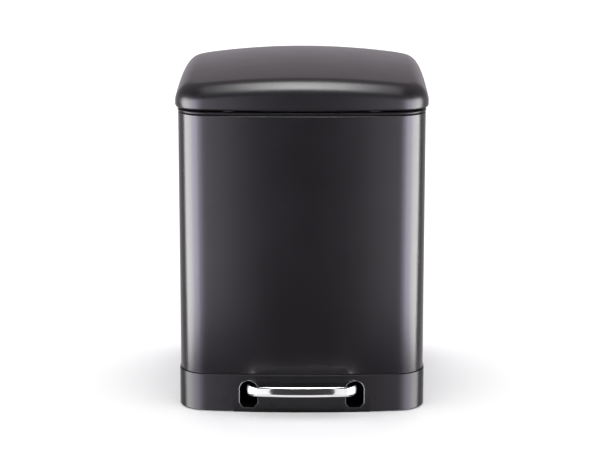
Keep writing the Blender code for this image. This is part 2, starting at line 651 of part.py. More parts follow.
def make_lid(pin_hole):
    """Lid shell, its liner, and the bracket whose middle tongue the push rod lifts."""
    shell = smooth(add("lid_shell", lid_surface(), BLACK_STEEL, LID_AXIS))
    skin = shell.modifiers.new("Wall", "SOLIDIFY")
    skin.thickness = LID_WALL
    skin.offset = -1
    skin.use_even_offset = True

    rim_bottom = LID_BOTTOM + GAP
    bracket_top = HINGE_Z + KNUCKLE_RADIUS + LINER_CLEARANCE
    plate_bottom = bracket_top + GAP
    plate_top = plate_bottom + LINER_THICKNESS
    liner = add("lid_liner", loft(BODY_FOOT, [
        (LINER_RIM + LINER_DRAFT, plate_bottom),
        (LINER_RIM, rim_bottom),
        (0.0, rim_bottom),
        (0.0, plate_top),
    ]), GREY_PLASTIC, LID_AXIS)
    relief_x = KNUCKLE_X + KNUCKLE_WALL + BRACKET_RELIEF
    relief = cutter("lid_hinge_relief", box((-relief_x, BACK - BRACKET_REACH, LID_BOTTOM - OVERRUN),
                                            (relief_x, HINGE_Y + OVERRUN, plate_bottom)))
    combine(shell, [relief])
    combine(liner, [relief])

    half = KNUCKLE_X + KNUCKLE_WALL / 2 + BRACKET_MARGIN
    bracket = add("lid_bracket", box((-half, HINGE_Y - BRACKET_REACH, bracket_top - BRACKET_WALL),
                                     (half, HINGE_Y, bracket_top)), ZINC, LID_AXIS)
    tabs = []
    for side, sign in SIDES:
        outline = link_outline((HINGE_Y - KNUCKLE_SINK, HINGE_Z + KNUCKLE_SINK), KNUCKLE_RADIUS,
                               (HINGE_Y, HINGE_Z), KNUCKLE_RADIUS)
        tabs.append(cutter(f"knuckle_{side}", slab(outline, KNUCKLE_WALL, SIDEWAYS),
                           (sign * KNUCKLE_X - KNUCKLE_WALL / 2, 0, 0)))
    tongue = link_outline((HINGE_Y, HINGE_Z), KNUCKLE_RADIUS, (LEVER_TIP_Y, LEVER_TIP_Z),
                          LINK_PIN_RADIUS + TIP_WALL)
    tabs.append(cutter("lid_tongue", slab(tongue, TONGUE_WALL, SIDEWAYS), (-TONGUE_WALL / 2, 0, 0)))
    combine(bracket, tabs, "UNION")
    tip = (0, LEVER_TIP_Y, LEVER_TIP_Z)
    pin_way = cutter("lid_link_hole", rod(LINK_PIN_RADIUS + GAP, 2 * OVERRUN, 12), tip)
    combine(bracket, [pin_hole, pin_way])
    link_pin("lid_link_pin", tip, LID_AXIS)

    head_at = bracket_top - BRACKET_WALL - GAP
    hole_top = head_at + LID_SCREW_LENGTH + SCREW_SPARE
    bosses = []
    holes = []
    for side, sign in SIDES:
        place = (sign * LID_SCREW_X, HINGE_Y - BRACKET_REACH + LID_SCREW_SETBACK, 0)
        boss = drum(BOSS_RADIUS, plate_top - LINER_THICKNESS / 2, plate_top + BOSS_HEIGHT)
        bosses.append(cutter(f"liner_boss_{side}", boss, place))
        holes.append(cutter(f"liner_hole_{side}", drum(SHANK_CLEARANCE, LID_BOTTOM, hole_top, 12), place))
        screw(f"lid_screw_{side}", (place[0], place[1], head_at), POINTING_DOWN, LID_SCREW_LENGTH, LID_AXIS)
    combine(liner, bosses, "UNION")
    combine(liner, holes)
    combine(bracket, holes)

    length, depth, height = BUFFER_SIZE
    bow_reach = BOW_RADIUS - (COLLAR_INSIDE + COLLAR_INSET + COLLAR_EDGE) / 2
    for side, sign in SIDES:
        x = sign * BUFFER_X
        y = FRONT + BOW_RADIUS - math.sqrt(bow_reach ** 2 - x ** 2)
        pad = box((-length / 2, -depth / 2, COLLAR_TOP + GAP),
                  (length / 2, depth / 2, COLLAR_TOP + GAP + height))
        add(f"lid_buffer_{side}", pad, RUBBER, location=(x, y, 0), rotation=(0, 0, math.asin(x / bow_reach)))


def link_pin(name, place, carrier):
    """A headed pin along X through a tongue and the rod beside it."""
    inner = -TONGUE_WALL / 2 - GAP
    outer = ROD_X + ROD_WALL + GAP + LINK_PIN_END
    turned(name, [
        (0, outer),
        (LINK_PIN_RADIUS - LINK_PIN_EDGE, outer),
        (LINK_PIN_RADIUS, outer - LINK_PIN_EDGE),
        (LINK_PIN_RADIUS, inner),
        (LINK_PIN_RADIUS + LINK_PIN_HEAD, inner),
        (LINK_PIN_RADIUS + LINK_PIN_HEAD, inner - LINK_PIN_HEAD),
        (0, inner - LINK_PIN_HEAD),
    ], ZINC, carrier, place, (0, math.pi / 2, 0), steps=12)


def make_pedal(floor):
    """Pedal strip, rocking lever, their axle and its two bearing blocks."""
    half_outside = PEDAL_WIDTH / 2
    path = footprint(PEDAL_WIDTH, PEDAL_FRONT, BACK, PEDAL_BOW, PEDAL_BEND)[2 * (CORNER_STEPS + 1):]
    tail = PIVOT_Y + ARM_TAIL
    outer = [(-half_outside, tail)] + [tuple(point) for point, normal in path] + [(half_outside, tail)]
    inner = [(-half_outside + PEDAL_WALL, tail)]
    inner += [tuple(point - PEDAL_WALL * normal) for point, normal in path]
    inner += [(half_outside - PEDAL_WALL, tail)]
    tilt = math.asin((PEDAL_LEVEL - PIVOT_LEVEL) / PEDAL_ARM)
    to_pivot = Matrix.Translation((0, -PIVOT_Y, -PEDAL_HEIGHT / 2))
    pivot = (0, PIVOT_Y, PIVOT_LEVEL)
    pedal = smooth(add("pedal_bar", slab(outer + inner[::-1], PEDAL_HEIGHT, to_pivot), POLISHED,
                       PEDAL_AXIS, pivot, (-tilt, 0, 0)))

    yoke = half_outside - PEDAL_WALL - GAP
    tongue = TONGUE_WALL / 2
    neck = ROD_ARM - TONGUE_REACH
    end = ROD_ARM + TONGUE_END
    web_across, web_along = YOKE_WEB
    right_side = [(yoke, -YOKE_FRONT), (yoke, YOKE_BACK), (LEVER_HALF_WIDTH + web_across, YOKE_BACK),
                  (LEVER_HALF_WIDTH, YOKE_BACK + web_along), (LEVER_HALF_WIDTH, neck - TONGUE_TAPER),
                  (tongue, neck), (tongue, end)]
    outline = right_side + [(-x, y) for x, y in reversed(right_side)]
    lever = add("pedal_lever", slab(outline, LEVER_HEIGHT, Matrix.Translation((0, 0, -LEVER_HEIGHT / 2))),
                BLACK_PLASTIC, PEDAL_AXIS, pivot, (-PEDAL_SWING / 2, 0, 0))
    hub = cutter("lever_hub", rod(HUB_RADIUS, 2 * yoke), pivot)
    combine(lever, [hub], "UNION")
    axle_hole = cutter("axle_hole", rod(AXLE_RADIUS + GAP, PEDAL_WIDTH + 2 * (BLOCK_WALL + OVERRUN)), pivot)
    combine(pedal, [axle_hole])
    rod_hole = cutter("lever_link_hole", rod(LINK_PIN_RADIUS + GAP, 2 * OVERRUN, 12), (0, ROD_Y, ROD_FOOT_Z))
    combine(lever, [axle_hole, rod_hole])
    link_pin("lever_link_pin", (0, ROD_Y, ROD_FOOT_Z), PEDAL_AXIS)

    along = YOKE_FRONT - YOKE_SCREW_INSET
    bolt_z = PIVOT_LEVEL + along * math.sin((tilt + PEDAL_SWING / 2) / 2)
    bolt_hole = cutter("pedal_screw_hole", rod(SHANK_CLEARANCE, PEDAL_WIDTH + 2 * OVERRUN, 12),
                       (0, PIVOT_Y - along, bolt_z))
    combine(pedal, [bolt_hole])
    combine(lever, [bolt_hole])
    for side, sign in SIDES:
        screw(f"pedal_screw_{side}", (sign * (half_outside + GAP), PIVOT_Y - along, bolt_z),
              (0, sign * math.pi / 2, 0), PEDAL_SCREW_LENGTH, PEDAL_AXIS)

    block_start = half_outside + BLOCK_CLEARANCE
    axle = rod(AXLE_RADIUS, 2 * (block_start + BLOCK_WALL - AXLE_INSET))
    add("pedal_axle", axle, ZINC, location=pivot)
    block_low = FLOOR_THICKNESS + GAP
    block_high = PIVOT_LEVEL + AXLE_RADIUS + BLOCK_HEADROOM
    head_seat = HEAD_RECESS - GAP
    hole_high = head_seat + BLOCK_SCREW_LENGTH + SCREW_SPARE
    for side, sign in SIDES:
        near = min(sign * block_start, sign * (block_start + BLOCK_WALL))
        body = box((near, PIVOT_Y - BLOCK_HALF_DEPTH, block_low),
                   (near + BLOCK_WALL, PIVOT_Y + BLOCK_HALF_DEPTH, block_high))
        block = add(f"axle_block_{side}", body, BLACK_PLASTIC)
        place = (near + BLOCK_WALL / 2, PIVOT_Y, 0)
        hole = cutter(f"block_hole_{side}", drum(SHANK_CLEARANCE, -OVERRUN, hole_high, 12), place)
        head = cutter(f"block_head_{side}", drum(SCREW_HEAD_RADIUS + GAP, -OVERRUN, HEAD_RECESS), place)
        combine(block, [axle_hole, hole])
        combine(floor, [head, hole])
        screw(f"axle_block_screw_{side}", (place[0], place[1], head_seat), POINTING_DOWN, BLOCK_SCREW_LENGTH)


def make_rod():
    """Flat push rod beside the two tongues, and the channel that guides it up the back."""
    top_travel = (LEVER_TIP_Y - (HINGE_Y - LEVER_ARM)) / 2
    length = LEVER_TIP_Z - ROD_FOOT_Z
    half = ROD_WIDTH / 2
    rod_at = (ROD_X, ROD_Y, ROD_FOOT_Z)
    bar = slab([(-half, 0), (half, 0), (half, length), (-half, length)], ROD_WALL - 2 * ROD_NECK,
               Matrix.Translation((ROD_NECK, 0, 0)) @ SIDEWAYS)
    push_rod = add("push_rod", bar, ZINC, ROD_AXIS, rod_at)
    heads = []
    slots = []
    for label, height, travel in (("foot", 0.0, ROD_FOOT_TRAVEL), ("head", length, top_travel)):
        ends = ((-travel, height), (travel, height))
        head = link_outline(ends[0], ROD_HEAD_RADIUS, ends[1], ROD_HEAD_RADIUS)
        slot = link_outline(ends[0], ROD_SLOT_RADIUS, ends[1], ROD_SLOT_RADIUS)
        heads.append(cutter(f"rod_{label}", slab(head, ROD_WALL, SIDEWAYS), rod_at))
        slots.append(cutter(f"rod_{label}_slot", slab(slot, 2 * OVERRUN, SIDEWAYS),
                            (-OVERRUN, ROD_Y, ROD_FOOT_Z)))
    combine(push_rod, heads, "UNION")
    combine(push_rod, slots)

    back = BACK - SHELL_WALL - GAP
    outside = CHANNEL_HALF_WIDTH
    inside = outside - CHANNEL_WALL
    outline = [(outside, CHANNEL_FRONT), (outside, back), (inside, back),
               (inside, CHANNEL_FRONT + CHANNEL_WALL), (-inside, CHANNEL_FRONT + CHANNEL_WALL),
               (-inside, back), (-outside, back), (-outside, CHANNEL_FRONT)]
    height = COLLAR_BOTTOM - DECK_TOP - 2 * GAP
    add("rod_channel", slab(outline, height), GREY_PLASTIC, location=(0, 0, DECK_TOP + GAP))


def make_bucket():
    """Tapered lift-out bucket with a rolled rim."""
    half_width = BODY_WIDTH / 2 - COLLAR_INSIDE - BUCKET_SIDE_CLEARANCE
    front = FRONT + COLLAR_INSIDE + BUCKET_SIDE_CLEARANCE
    back = CHANNEL_FRONT - BUCKET_SIDE_CLEARANCE
    foot = footprint(2 * half_width, front, back, FRONT_BOW, CORNER_RADIUS - BUCKET_CORNER_EASE)
    bottom = DECK_TOP + GAP
    wall = BUCKET_RIM
    base = wall + BUCKET_TAPER
    add("bucket", loft(foot, [
        (base + BUCKET_FOOT_EDGE, bottom),
        (base, bottom + BUCKET_FOOT_EDGE),
        (wall, BUCKET_TOP - BUCKET_RIM_HEIGHT),
        (0.0, BUCKET_TOP - BUCKET_RIM_HEIGHT),
        (0.0, BUCKET_TOP - EDGE_BREAK),
        (EDGE_BREAK, BUCKET_TOP),
        (wall + BUCKET_WALL, BUCKET_TOP),
        (base + BUCKET_WALL, bottom + BUCKET_FLOOR + BUCKET_FOOT_EDGE),
        (base + BUCKET_WALL + BUCKET_FOOT_EDGE, bottom + BUCKET_FLOOR),
    ]), GREY_PLASTIC, BUCKET_AXIS)


base_floor = make_base()
body_shell, top_collar, lever_notch = make_body()
hinge_pin_hole = make_hinge(body_shell, top_collar, lever_notch)
make_lid(hinge_pin_hole)
make_pedal(base_floor)
make_rod()
make_bucket()
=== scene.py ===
# %% [markdown]
# A step-on waste bin: a crowned enamelled lid, a bow-fronted steel body, a moulded plinth and a
# polished pedal strip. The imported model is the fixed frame. It says where everything is and which
# body moves it. This lesson builds the fine surfaces that an eye sees around that frame.

# %% Load the frame
import json
import math

import bmesh
import bpy
from mathutils import Matrix, Vector


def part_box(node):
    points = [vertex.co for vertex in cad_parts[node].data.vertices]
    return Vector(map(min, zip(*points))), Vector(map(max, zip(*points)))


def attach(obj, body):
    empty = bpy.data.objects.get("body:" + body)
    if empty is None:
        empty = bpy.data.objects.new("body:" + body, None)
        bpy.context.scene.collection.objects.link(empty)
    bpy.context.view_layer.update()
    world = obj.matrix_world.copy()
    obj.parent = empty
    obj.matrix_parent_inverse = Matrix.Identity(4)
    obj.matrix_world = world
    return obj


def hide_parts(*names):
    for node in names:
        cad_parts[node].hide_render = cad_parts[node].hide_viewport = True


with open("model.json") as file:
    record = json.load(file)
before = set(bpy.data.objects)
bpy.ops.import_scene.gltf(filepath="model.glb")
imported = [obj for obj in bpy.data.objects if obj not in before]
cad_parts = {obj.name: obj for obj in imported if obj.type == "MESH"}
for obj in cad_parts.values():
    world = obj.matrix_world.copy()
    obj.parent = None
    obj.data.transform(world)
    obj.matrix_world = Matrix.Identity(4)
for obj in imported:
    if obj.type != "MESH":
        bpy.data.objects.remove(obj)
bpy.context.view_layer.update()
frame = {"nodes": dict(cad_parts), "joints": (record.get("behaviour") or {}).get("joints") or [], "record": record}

NODES = frame["nodes"]
BODY_OF = {}
for body, members in frame["record"]["behaviour"]["bodies"].items():
    for member in members:
        BODY_OF[member] = body
JOINT_AT = {joint["name"]: joint.get("pos_m") for joint in frame["joints"]}

# %% [markdown]
# The camera comes first, because it decides how fine each piece has to be. A product shot like
# this is taken from well back with a long lens, so upright edges stay almost parallel. The camera
# looks down about thirteen degrees, enough to show the crown of the lid.

# %% Camera
AIM = Vector((-0.0029, 0, 0.1943))
CAMERA_TURN = math.radians(0.335)
CAMERA_RISE = math.radians(12.70)
CAMERA_DISTANCE = 2.638
away = Vector((math.sin(CAMERA_TURN) * math.cos(CAMERA_RISE),
               -math.cos(CAMERA_TURN) * math.cos(CAMERA_RISE), math.sin(CAMERA_RISE)))
LENS_LENGTH = 128.0
SENSOR_WIDTH = 36.0
lens = bpy.data.cameras.new("long_lens")
lens.lens = LENS_LENGTH
lens.sensor_width = SENSOR_WIDTH
camera = bpy.data.objects.new("camera", lens)
camera.location = AIM + away * CAMERA_DISTANCE
camera.rotation_euler = away.to_track_quat("Z", "Y").to_euler()
bpy.context.scene.collection.objects.link(camera)
bpy.context.scene.camera = camera
bpy.context.scene.view_settings.view_transform = "Standard"
print("camera at", tuple(round(value, 3) for value in camera.location))

# %% [markdown]
# Shader maths reads best as ordinary sums. This small class wraps one socket of a node tree, and
# Python's plus, minus and times on it add the Math nodes. Every other node comes from its one
# method, which sets the node's settings first and then fills or links its inputs.

# %% Sums on sockets
class Wire:
    """One output in a node tree, which +, - and * work on."""

    def __init__(self, tree, socket=None):
        self.tree = tree
        self.socket = socket

    def node(self, kind, settings=None, sockets=None, output=0):
        made = self.tree.nodes.new("ShaderNode" + kind)
        for name, value in (settings or {}).items():
            setattr(made, name, value)
        for name, value in (sockets or {}).items():
            if isinstance(value, Wire):
                self.tree.links.new(value.socket, made.inputs[name])
            else:
                made.inputs[name].default_value = value
        return Wire(self.tree, made.outputs[output])

    def sum(self, operation, first, second):
        return self.node("Math", {"operation": operation}, {0: first, 1: second})

    def __add__(self, other):
        return self.sum("ADD", self, other)

    def __radd__(self, other):
        return self.sum("ADD", other, self)

    def __sub__(self, other):
        return self.sum("SUBTRACT", self, other)

    def __rsub__(self, other):
        return self.sum("SUBTRACT", other, self)

    def __mul__(self, other):
        return self.sum("MULTIPLY", self, other)

    def __rmul__(self, other):
        return self.sum("MULTIPLY", other, self)


print("sums on sockets ready")

# %% [markdown]
# A few moves come back in every finish: a soft noise of some scale, a blend of two colours, a new
# material with its shader, links into that shader, a bump of a true depth, and a smooth ramp
# between two values. Each gets its own short function, so a finish reads like a recipe.

# %% Moves that every finish shares
def grain(wire, place, scale, detail=3.0, roughness=0.5):
    """Soft noise of a given scale, from 0 to 1, over a place in metres."""
    return wire.node("TexNoise", None, {"Vector": place, "Scale": scale, "Detail": detail,
                                        "Roughness": roughness})


def blend_colours(wire, share, dark, light):
    """A colour between two others."""
    return wire.node("Mix", {"data_type": "RGBA"}, {0: share, 6: (*dark, 1), 7: (*light, 1)},
                     output=2)


def finish_named(name, metallic=0.0, specular=0.5):
    """A new material with its shader, the wire to build on and the object's own coordinates."""
    material = bpy.data.materials.new(name)
    material.use_nodes = True
    tree = material.node_tree
    shader = tree.nodes["Principled BSDF"]
    shader.inputs["Metallic"].default_value = metallic
    shader.inputs["Specular IOR Level"].default_value = specular
    wire = Wire(tree)
    place = wire.node("TexCoord", output=3)
    return material, shader, wire, place


def feed(wire, shader, **parts):
    """Link colour, roughness and relief to the shader."""
    for name, value in parts.items():
        wire.tree.links.new(value.socket, shader.inputs[name.replace("_", " ")])


def relief(wire, height, depth, normal=None):
    """A bump of a true depth in metres, laid over another where one is given."""
    sockets = {"Height": height, "Distance": depth, "Strength": 1.0}
    if normal is not None:
        sockets["Normal"] = normal
    return wire.node("Bump", None, sockets)


def smooth_ramp(wire, value, low, high):
    """0 below the low value, 1 above the high one, and a soft rise between them."""
    return wire.node("MapRange", {"interpolation_type": "SMOOTHSTEP"},
                     {"Value": value, "From Min": low, "From Max": high})


print("shared moves ready")

# %% [markdown]
# Body and lid are pressed steel under black enamel. Sprayed enamel dries with a very slight
# orange-peel waviness a few millimetres across, and its gloss drifts a little where it was
# handled. Its black leans faintly to plum. The lid is a little rougher than the body and mirrors
# a little less, because hands and cloths rub it more.

# %% Black enamel
PLUM_BLACK = (0.0072, 0.0054, 0.0074)
WORN_BLACK = (0.0090, 0.0068, 0.0092)
PEEL_DEPTH = 0.000022
DUST_DEPTH = 0.000006


def black_enamel(name, roughness, specular):
    """Sprayed enamel: orange peel, fine dust in the coat and a gloss that drifts."""
    material, shader, wire, place = finish_named(name, specular=specular)
    cloud = grain(wire, place, 9.0, 2.0)
    peel = grain(wire, place, 330.0, 2.0)
    dust = grain(wire, place, 2600.0, 1.0)
    handled = grain(wire, place, 38.0, 4.0, 0.6)
    colour = blend_colours(wire, cloud, PLUM_BLACK, WORN_BLACK)
    rough = roughness - 0.03 + cloud * 0.03 + handled * 0.045
    bumps = relief(wire, dust, DUST_DEPTH, relief(wire, peel, PEEL_DEPTH))
    feed(wire, shader, Base_Color=colour, Roughness=rough, Normal=bumps)
    return material


BODY_ENAMEL = black_enamel("black_enamel_body", 0.25, 0.5)
LID_ENAMEL = black_enamel("black_enamel_lid", 0.30, 0.42)
print("made", BODY_ENAMEL.name, "and", LID_ENAMEL.name)

# %% [markdown]
# The plinth, the collar and the hinge cover are moulded in black plastic. The mould was lightly
# spark-eroded, so the surface has a grain of fine pits about half a millimetre apart, and the
# pits hold back the shine. The same recipe serves the grey bucket, liner and guide channel. The
# lips round the pedal's slots are glossier, and their colour is painted paler than the plinth's:
# a painted highlight for the thin light line along their rounded edges.

# %% Moulded plastics
def moulded(name, dark, light, roughness, pit_depth, specular=0.25):
    """Plastic from a spark-eroded mould: fine pits and faint flow marks."""
    material, shader, wire, place = finish_named(name, specular=specular)
    cloud = grain(wire, place, 14.0, 2.0)
    pits = wire.node("TexVoronoi", {"feature": "SMOOTH_F1"}, {"Vector": place, "Scale": 1500.0})
    flow = grain(wire, place, 60.0, 3.0, 0.6)
    colour = blend_colours(wire, cloud, dark, light)
    rough = roughness + flow * 0.06 + (1 - pits) * 0.05
    feed(wire, shader, Base_Color=colour, Roughness=rough, Normal=relief(wire, pits, pit_depth))
    return material


BLACK_PLASTIC = moulded("moulded_black_plastic", (0.0080, 0.0070, 0.0080),
                        (0.0105, 0.0092, 0.0105), 0.23, 0.00002)
GREY_PLASTIC = moulded("moulded_grey_plastic", (0.082, 0.082, 0.086), (0.098, 0.098, 0.102),
                       0.42, 0.00003)
# The slot lips' colour is a painted highlight: paler than the plinth, it stands for the light line along their
# edges.
LIP_PLASTIC_PAINTED_HIGHLIGHT = moulded("lip_plastic_painted_highlight", (0.020, 0.018, 0.020), (0.030, 0.028, 0.030),
                         0.16, 0.00001, specular=0.9)
print("made", BLACK_PLASTIC.name, "and", GREY_PLASTIC.name, "and", LIP_PLASTIC_PAINTED_HIGHLIGHT.name)

# %% [markdown]
# The pedal is stainless strip polished to a mirror. Shoes leave fine hairlines along its length,
# so a noise stretched along the strip roughens the polish in thin streaks. The hinge and linkage
# parts are zinc plated, which shows a soft spangle of crystals in slightly different greys.

# %% Metals
HAIRLINE_STRETCH = (35.0, 900.0, 2600.0)
HAIRLINE_DEPTH = 0.0000012
ZINC_DEPTH = 0.000008


def polished_steel(name):
    """Mirror polish with hairlines along the strip."""
    material, shader, wire, place = finish_named(name, metallic=1.0)
    along = wire.node("Mapping", None, {"Vector": place, "Scale": HAIRLINE_STRETCH})
    hairs = grain(wire, along, 1.0, 4.0, 0.7)
    smear = grain(wire, place, 45.0, 2.0)
    colour = blend_colours(wire, smear, (0.80, 0.80, 0.81), (0.88, 0.88, 0.88))
    rough = 0.03 + hairs * 0.05 + smear * 0.03
    scratches = relief(wire, hairs, HAIRLINE_DEPTH)
    feed(wire, shader, Base_Color=colour, Roughness=rough, Normal=scratches)
    return material


def zinc_plate(name):
    """Zinc plating: crystals in slightly different greys over a drawn surface."""
    material, shader, wire, place = finish_named(name, metallic=1.0)
    crystals = wire.node("TexVoronoi", {"feature": "F1"}, {"Vector": place, "Scale": 420.0},
                         output=1)
    shade = wire.node("SeparateColor", None, {"Color": crystals})
    drawn = grain(wire, place, 900.0, 2.0)
    colour = blend_colours(wire, shade, (0.50, 0.50, 0.50), (0.64, 0.64, 0.62))
    rough = 0.26 + shade * 0.10 + drawn * 0.06
    feed(wire, shader, Base_Color=colour, Roughness=rough, Normal=relief(wire, drawn, ZINC_DEPTH))
    return material


POLISHED = polished_steel("polished_steel")
ZINC = zinc_plate("zinc_plated_steel")
print("made", POLISHED.name, "and", ZINC.name)

# %% [markdown]
# Feet, lid buffers and wall bumpers are black rubber. Moulded rubber is dull, a little dusty and
# grainy, so it gets the roughest finish and the strongest fine noise.

# %% Rubber
TOOTH_DEPTH = 0.00004


def dull_rubber(name):
    """Dusty rubber with a strong fine tooth."""
    material, shader, wire, place = finish_named(name, specular=0.3)
    dust = grain(wire, place, 120.0, 4.0, 0.65)
    tooth = grain(wire, place, 2200.0, 2.0)
    colour = blend_colours(wire, dust, (0.013, 0.013, 0.013), (0.028, 0.027, 0.026))
    rough = 0.66 + dust * 0.16
    feed(wire, shader, Base_Color=colour, Roughness=rough, Normal=relief(wire, tooth, TOOTH_DEPTH))
    return material


RUBBER = dull_rubber("dull_rubber")
print("made", RUBBER.name)

# %% [markdown]
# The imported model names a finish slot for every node. The nodes whose shape is already right stay
# as they are, and only get the finish of their slot.

# %% Finish the carried-over nodes
FINISH_OF_SLOT = {"black_enamel": BODY_ENAMEL, "black_plastic": BLACK_PLASTIC,
                  "grey_plastic": GREY_PLASTIC, "polished_steel": POLISHED, "zinc_steel": ZINC,
                  "rubber": RUBBER}
SLOT_OF = {part["node"]: part["material_slot"] for part in frame["record"]["subparts"]}
for node, piece in NODES.items():
    piece.data.materials.clear()
    piece.data.materials.append(FINISH_OF_SLOT[SLOT_OF[node]])
print("finishes on", len(NODES), "carried-over nodes")

# %% [markdown]
# Every new piece is finished in the same way: its mesh gets its finish and a body to ride on, and
# the CAD nodes that it stands for are hidden. A piece whose faces meet at sharp edges keeps them
# sharp and shades smooth between them.

# %% Make a piece
def piece_from(bm, name, material, *nodes, smooth_below=40):
    """Turn a bmesh into a finished piece that stands for CAD nodes and moves with them."""
    mesh = bpy.data.meshes.new(name)
    bm.to_mesh(mesh)
    bm.free()
    mesh.materials.append(material)
    mesh.shade_smooth()
    mesh.set_sharp_from_angle(angle=math.radians(smooth_below))
    made = bpy.data.objects.new(name, mesh)
    bpy.context.scene.collection.objects.link(made)
    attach(made, BODY_OF[nodes[0]])
    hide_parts(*nodes)
    return made


def settle(made, smooth_below=40):
    """Make the result of the modifiers the piece's own mesh."""
    graph = bpy.context.evaluated_depsgraph_get()
    mesh = bpy.data.meshes.new_from_object(made.evaluated_get(graph))
    made.modifiers.clear()
    made.data = mesh
    mesh.shade_smooth()
    mesh.set_sharp_from_angle(angle=math.radians(smooth_below))


# %% [markdown]
# Three workshop moves serve most pieces. A closed block is made between two corners, closed
# blocks are cut out of a piece, and sharp edges are rounded. The cutters are removed afterwards,
# so nothing but the finished piece is left in the scene.

# %% Cut and round
def carve(made, *tools):
    """Cut closed bmeshes out of a piece."""
    blocks = []
    for bm in tools:
        mesh = bpy.data.meshes.new("tool")
        bm.to_mesh(mesh)
        bm.free()
        block = bpy.data.objects.new("tool", mesh)
        bpy.context.scene.collection.objects.link(block)
        step = made.modifiers.new("cut", "BOOLEAN")
        step.operation = "DIFFERENCE"
        step.solver = "EXACT"
        step.object = block
        blocks.append(block)
    settle(made)
    for block in blocks:
        bpy.data.objects.remove(block)


def brick(low, high):
    """A closed box between two opposite corners."""
    low, high = Vector(low), Vector(high)
    bm = bmesh.new()
    bmesh.ops.create_cube(bm, size=1)
    bmesh.ops.scale(bm, vec=high - low, verts=bm.verts)
    bmesh.ops.translate(bm, vec=(low + high) / 2, verts=bm.verts)
    return bm


def round_edges(bm, width, segments=3, steeper_than=35):
    """Bevel every edge where two faces meet at more than an angle."""
    limit = math.radians(steeper_than)
    sharp = [edge for edge in bm.edges if edge.is_manifold and edge.calc_face_angle() > limit]
    bmesh.ops.bevel(bm, geom=sharp, offset=width, offset_type="OFFSET", segments=segments,
                    profile=0.5, affect="EDGES", clamp_overlap=True, material=-1)


print("helpers for pieces ready")


# %% [markdown]
# Body, collar, lid, plinth and bucket all share one plan: a slightly bowed front, tight round
# corners and straight sides. Half of that outline is one vertex pulled round its arcs with the
# spin tool, and a mirror makes the other half. A layer on the vertices remembers which way is
# out, so walls can later step in and out evenly, round corners too.

# %% The shared plan
BODY_LOW, BODY_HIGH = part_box("body_shell")
HALF_WIDTH = BODY_HIGH.x
FRONT = BODY_LOW.y
BACK = BODY_HIGH.y
BOW = 0.011
CORNER = 0.034
BOW_STEPS = 26
CORNER_STEPS = 14
STRAIGHT_STEPS = 16
print("plan:", round(2 * HALF_WIDTH, 4), "by", round(BACK - FRONT, 4), "m")

# %% [markdown]
# A straight stretch is drawn in short steps, so that a crowned top has vertices to bend at. An
# operator's answer mixes vertices, edges and faces, so one helper picks out the wanted kind.

# %% Straight stretches
MERGE = 0.000001


def new_items(made, kind):
    """The vertices, edges or faces among what an operator made."""
    return [item for item in made if isinstance(item, kind)]


def straight_to(bm, tip, x=None, y=None):
    """Draw the outline straight on from a vertex, in short steps."""
    start = tip.co.copy()
    for step in range(1, STRAIGHT_STEPS + 1):
        tip = bmesh.ops.extrude_vert_indiv(bm, verts=[tip])["verts"][0]
        share = step / STRAIGHT_STEPS
        tip.co.x += 0 if x is None else start.x + (x - start.x) * share - tip.co.x
        tip.co.y += 0 if y is None else start.y + (y - start.y) * share - tip.co.y
    return tip


print("straight stretches in", STRAIGHT_STEPS, "steps")

# %% [markdown]
# The outline starts at the middle of the bowed front. It spins along the bow, round the front
# corner, runs straight back, spins round the back corner and runs in to the middle of the back.
# The bow and the front corner share one tangent, so no kink shows where they meet.

# %% Bowed outline
def bowed_outline(half_width, front, back, bow, corner, bow_steps=BOW_STEPS,
                  corner_steps=CORNER_STEPS):
    """A closed loop of edges round a bow-fronted plan, each vertex with its way out."""
    bm = bmesh.new()
    out = bm.verts.layers.float_vector.new("out")
    bow_radius = (half_width ** 2 + bow ** 2) / (2 * bow)
    corner_x = half_width - corner
    bow_centre = Vector((0, front + bow_radius, 0))
    front_y = bow_centre.y - math.sqrt((bow_radius - corner) ** 2 - corner_x ** 2)
    lean = math.asin(corner_x / (bow_radius - corner))
    tip = bm.verts.new((0, front, 0))
    tip[out] = (0, -1, 0)
    square = math.pi / 2
    front_corner = Vector((corner_x, front_y, 0))
    back_corner = Vector((corner_x, back - corner, 0))
    stretches = ((bow_centre, lean, bow_steps), (front_corner, square - lean, corner_steps),
                 (back_corner, square, corner_steps))
    for index, (centre, angle, steps) in enumerate(stretches):
        if index == 2:
            tip = straight_to(bm, tip, y=back - corner)
        known = set(bm.verts)
        last = bmesh.ops.spin(bm, geom=[tip], cent=centre, axis=(0, 0, 1), dvec=(0, 0, 0),
                              angle=angle, steps=steps, use_merge=False,
                              use_duplicate=False)["geom_last"]
        for vert in bm.verts:
            if vert not in known:
                vert[out] = (vert.co - centre).normalized()
        tip = new_items(last, bmesh.types.BMVert)[0]
    straight_to(bm, tip, x=0)
    bmesh.ops.mirror(bm, geom=bm.verts[:] + bm.edges[:], axis="X", matrix=Matrix.Identity(4),
                     merge_dist=MERGE)
    for vert in bm.verts:
        if vert.co.x < -MERGE:
            vert[out] = (-vert[out].x, vert[out].y, 0)
    return bm


def body_plan():
    """The outline that body, collar, lid and plinth share."""
    return bowed_outline(HALF_WIDTH, FRONT, BACK, BOW, CORNER)


print("corner radius", CORNER, "m, bow", BOW, "m")

# %% [markdown]
# A wall is the outline pulled through a list of steps. Each step says how far out of the plan the
# wall stands and how high it is. A closed list makes a ring of solid wall, and an arc in the list
# makes a rounded edge or a bead.

# %% Walls on the plan
def arc_steps(reach, height, radius, steps=8, start=0.0, sweep=math.pi / 2):
    """Wall steps along an arc about a centre; from 0, facing out, to a quarter turn, facing up."""
    turns = [start + sweep * step / steps for step in range(steps + 1)]
    return [(reach + radius * math.cos(turn), height + radius * math.sin(turn)) for turn in turns]


